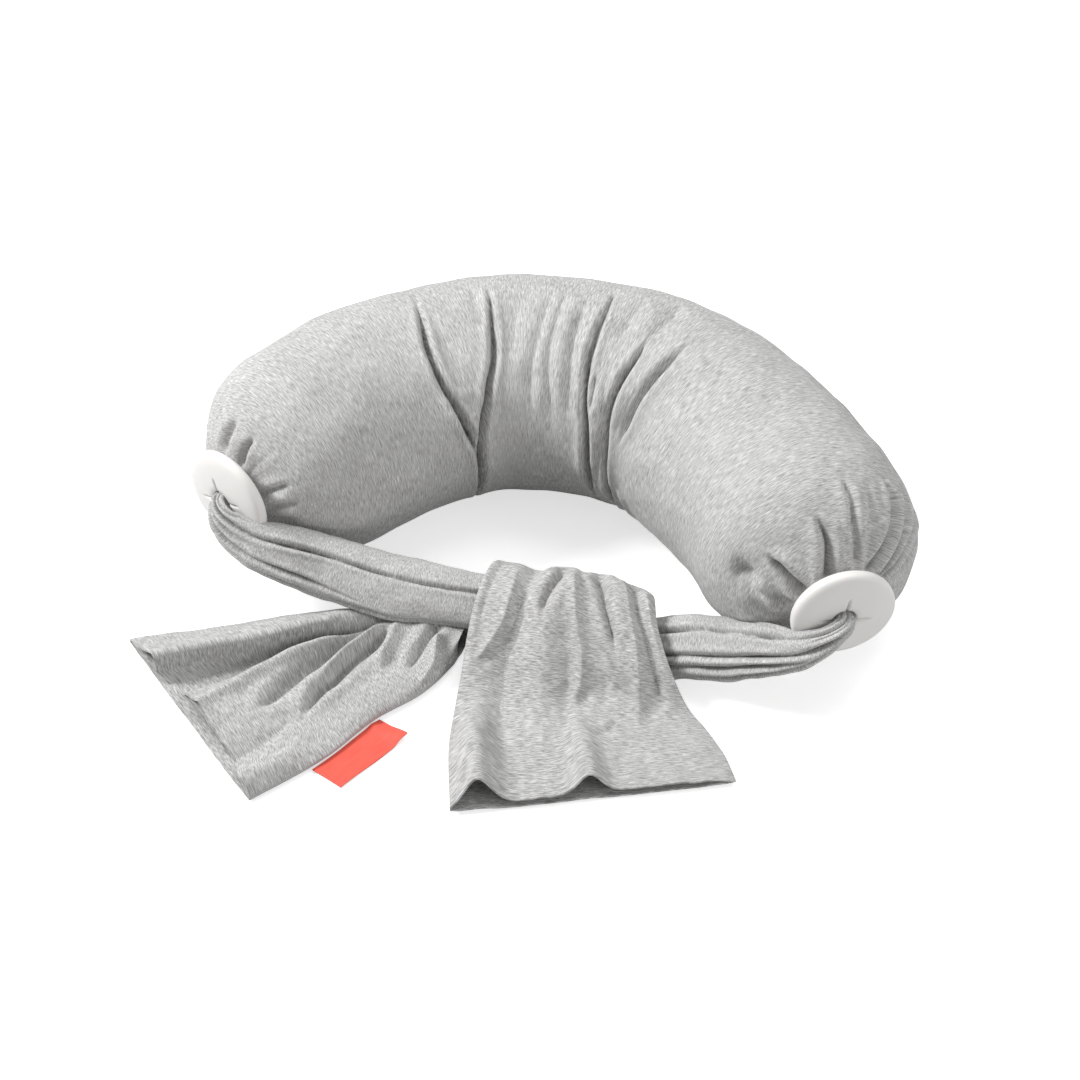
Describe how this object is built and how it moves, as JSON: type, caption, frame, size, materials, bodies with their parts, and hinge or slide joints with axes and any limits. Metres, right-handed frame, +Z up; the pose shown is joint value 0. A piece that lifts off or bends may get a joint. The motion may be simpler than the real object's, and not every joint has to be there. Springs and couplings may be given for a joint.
{
  "type": "nursing pillow",
  "caption": "Wide U-shaped bead-filled nursing pillow in grey heather jersey, its gathered ends drawn through silicone discs and knotted across the opening.",
  "frame": {"origin": "on the floor, under the middle of the back section of the tube", "axes": "+X to the right across the U, +Z up, the opening and the knot towards -Y"},
  "size_m": [0.6472, 0.5668, 0.1908],
  "materials": {
    "jersey": "matte",
    "jersey_hem": "matte",
    "liner": "matte",
    "bead_fill": "matte",
    "silicone": "satin",
    "label_tape": "matte"
  },
  "bodies": {
    "back": {"bead_fill_centre": "bead_fill", "liner_centre": "liner", "cover_centre": "jersey", "cover_crease_left": "jersey", "cover_crease_right": "jersey", "tie_left": "jersey", "tie_right": "jersey"},
    "left_arm": {"bead_fill_left_arm": "bead_fill", "liner_left_arm": "liner", "liner_end_left": "liner", "cover_left_arm": "jersey", "cover_neck_left": "jersey"},
    "right_arm": {"bead_fill_right_arm": "bead_fill", "liner_right_arm": "liner", "liner_end_right": "liner", "cover_right_arm": "jersey", "cover_neck_right": "jersey"},
    "disc_left": {"disc_left": "silicone"},
    "disc_right": {"disc_right": "silicone"},
    "tail_front": {"tail_front": "jersey", "tail_front_hem": "jersey_hem"},
    "tail_side": {"tail_side": "jersey", "tail_side_hem": "jersey_hem"},
    "side_label": {"side_label": "label_tape"}
  },
  "joints": [
    {"name": "left_arm_flex", "type": "hinge", "parent": "back", "child": "left_arm", "pos_m": [-0.0898, -0.0168, 0.094], "axis": [0, 0, -1], "range_deg": [-8, 8], "deforming": ["cover_crease_left", "tie_left"]},
    {"name": "right_arm_flex", "type": "hinge", "parent": "back", "child": "right_arm", "pos_m": [0.0898, -0.0168, 0.094], "axis": [0, 0, 1], "range_deg": [-8, 8], "deforming": ["cover_crease_right", "tie_right"]},
    {"name": "left_disc_slide", "type": "slide", "parent": "left_arm", "child": "disc_left", "axis": [-0.4602, -0.8878, 0], "range_m": [0, 0.008], "deforming": ["tie_left"]},
    {"name": "right_disc_slide", "type": "slide", "parent": "right_arm", "child": "disc_right", "axis": [0.4602, -0.8878, 0], "range_m": [0, 0.008], "deforming": ["tie_right"]},
    {"name": "front_tail_swing", "type": "hinge", "parent": "back", "child": "tail_front", "pos_m": [0.04, -0.228, 0.03], "axis": [0, 0, 1], "range_deg": [-8, 8], "deforming": ["tie_left", "tie_right"]},
    {"name": "side_tail_swing", "type": "hinge", "parent": "back", "child": "tail_side", "pos_m": [-0.045, -0.254, 0.012], "axis": [0, 0, 1], "range_deg": [-6, 6], "deforming": ["tie_left", "tie_right"]},
    {"name": "label_flap", "type": "hinge", "parent": "tail_side", "child": "side_label", "pos_m": [-0.0916, -0.3565, 0.0007], "axis": [-0.4868, -0.8735, 0], "range_deg": [0, 90]}
  ]
}
